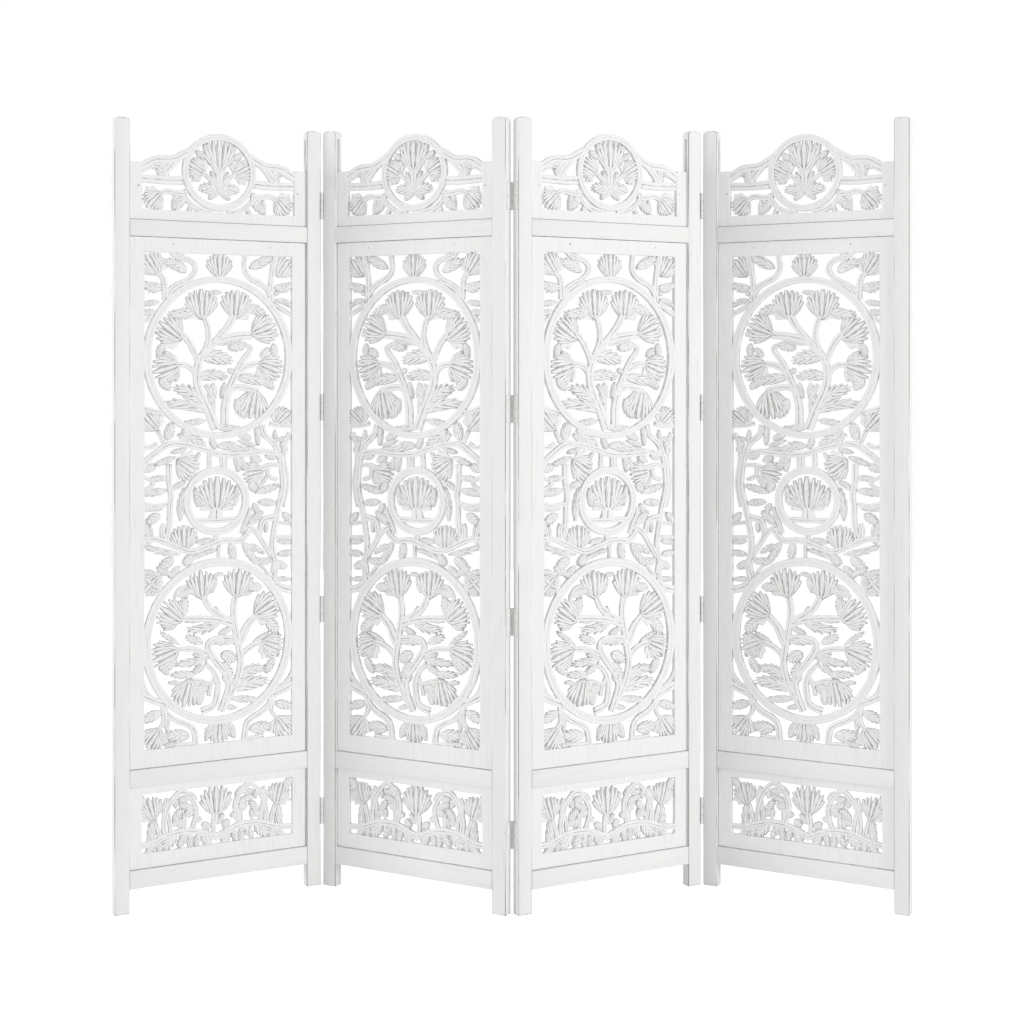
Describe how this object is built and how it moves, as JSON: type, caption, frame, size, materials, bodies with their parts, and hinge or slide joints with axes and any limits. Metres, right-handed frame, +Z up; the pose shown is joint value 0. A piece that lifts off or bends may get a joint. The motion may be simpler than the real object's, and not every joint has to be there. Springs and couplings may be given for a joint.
{
  "type": "carved folding screen",
  "caption": "Free-standing folding room divider of grooved posts and rails round fretted lotus and vine boards, hinged edge to edge in a zigzag.",
  "frame": {"origin": "on the floor, at the centre of the screen's footprint", "axes": "+X along the row of panels, -Y towards the viewer of the screen's front, +Z up"},
  "size_m": [1.8424, 0.2682, 1.83],
  "materials": {
    "frame_paint": "distressed matt white paint over solid wood",
    "carved_paint": "matt white paint with a grey wash left in the carving",
    "hinge_leaves": "white paint brushed over steel",
    "hinge_pins": "dull steel"
  },
  "bodies": {
    "panel_2": {"panel_2_left_post": "frame_paint", "panel_2_right_post": "frame_paint", "panel_2_bottom_rail": "frame_paint", "panel_2_middle_rail": "frame_paint", "panel_2_top_rail": "frame_paint", "panel_2_lower_board": "carved_paint", "panel_2_main_board": "carved_paint", "panel_2_crest_board": "carved_paint", "hinge_1_2_inner_leaves": "hinge_leaves", "hinge_2_3_inner_leaves": "hinge_leaves"},
    "panel_1": {"panel_1_left_post": "frame_paint", "panel_1_right_post": "frame_paint", "panel_1_bottom_rail": "frame_paint", "panel_1_middle_rail": "frame_paint", "panel_1_top_rail": "frame_paint", "panel_1_lower_board": "carved_paint", "panel_1_main_board": "carved_paint", "panel_1_crest_board": "carved_paint", "hinge_1_2_outer_leaves": "hinge_leaves", "hinge_1_2_pins": "hinge_pins"},
    "panel_3": {"panel_3_left_post": "frame_paint", "panel_3_right_post": "frame_paint", "panel_3_bottom_rail": "frame_paint", "panel_3_middle_rail": "frame_paint", "panel_3_top_rail": "frame_paint", "panel_3_lower_board": "carved_paint", "panel_3_main_board": "carved_paint", "panel_3_crest_board": "carved_paint", "hinge_2_3_outer_leaves": "hinge_leaves", "hinge_2_3_pins": "hinge_pins", "hinge_3_4_outer_leaves": "hinge_leaves", "hinge_3_4_pins": "hinge_pins"},
    "panel_4": {"panel_4_left_post": "frame_paint", "panel_4_right_post": "frame_paint", "panel_4_bottom_rail": "frame_paint", "panel_4_middle_rail": "frame_paint", "panel_4_top_rail": "frame_paint", "panel_4_lower_board": "carved_paint", "panel_4_main_board": "carved_paint", "panel_4_crest_board": "carved_paint", "hinge_3_4_inner_leaves": "hinge_leaves"}
  },
  "joints": [
    {"name": "fold_1_2", "type": "hinge", "parent": "panel_2", "child": "panel_1", "pos_m": [-0.46198, 0.11009, 0], "axis": [0, 0, 1], "range_deg": [-58, 122]},
    {"name": "fold_2_3", "type": "hinge", "parent": "panel_2", "child": "panel_3", "pos_m": [0, -0.11009, 0], "axis": [0, 0, 1], "range_deg": [-58, 122]},
    {"name": "fold_3_4", "type": "hinge", "parent": "panel_3", "child": "panel_4", "pos_m": [0.46198, 0.11009, 0], "axis": [0, 0, 1], "range_deg": [-122, 58]}
  ]
}
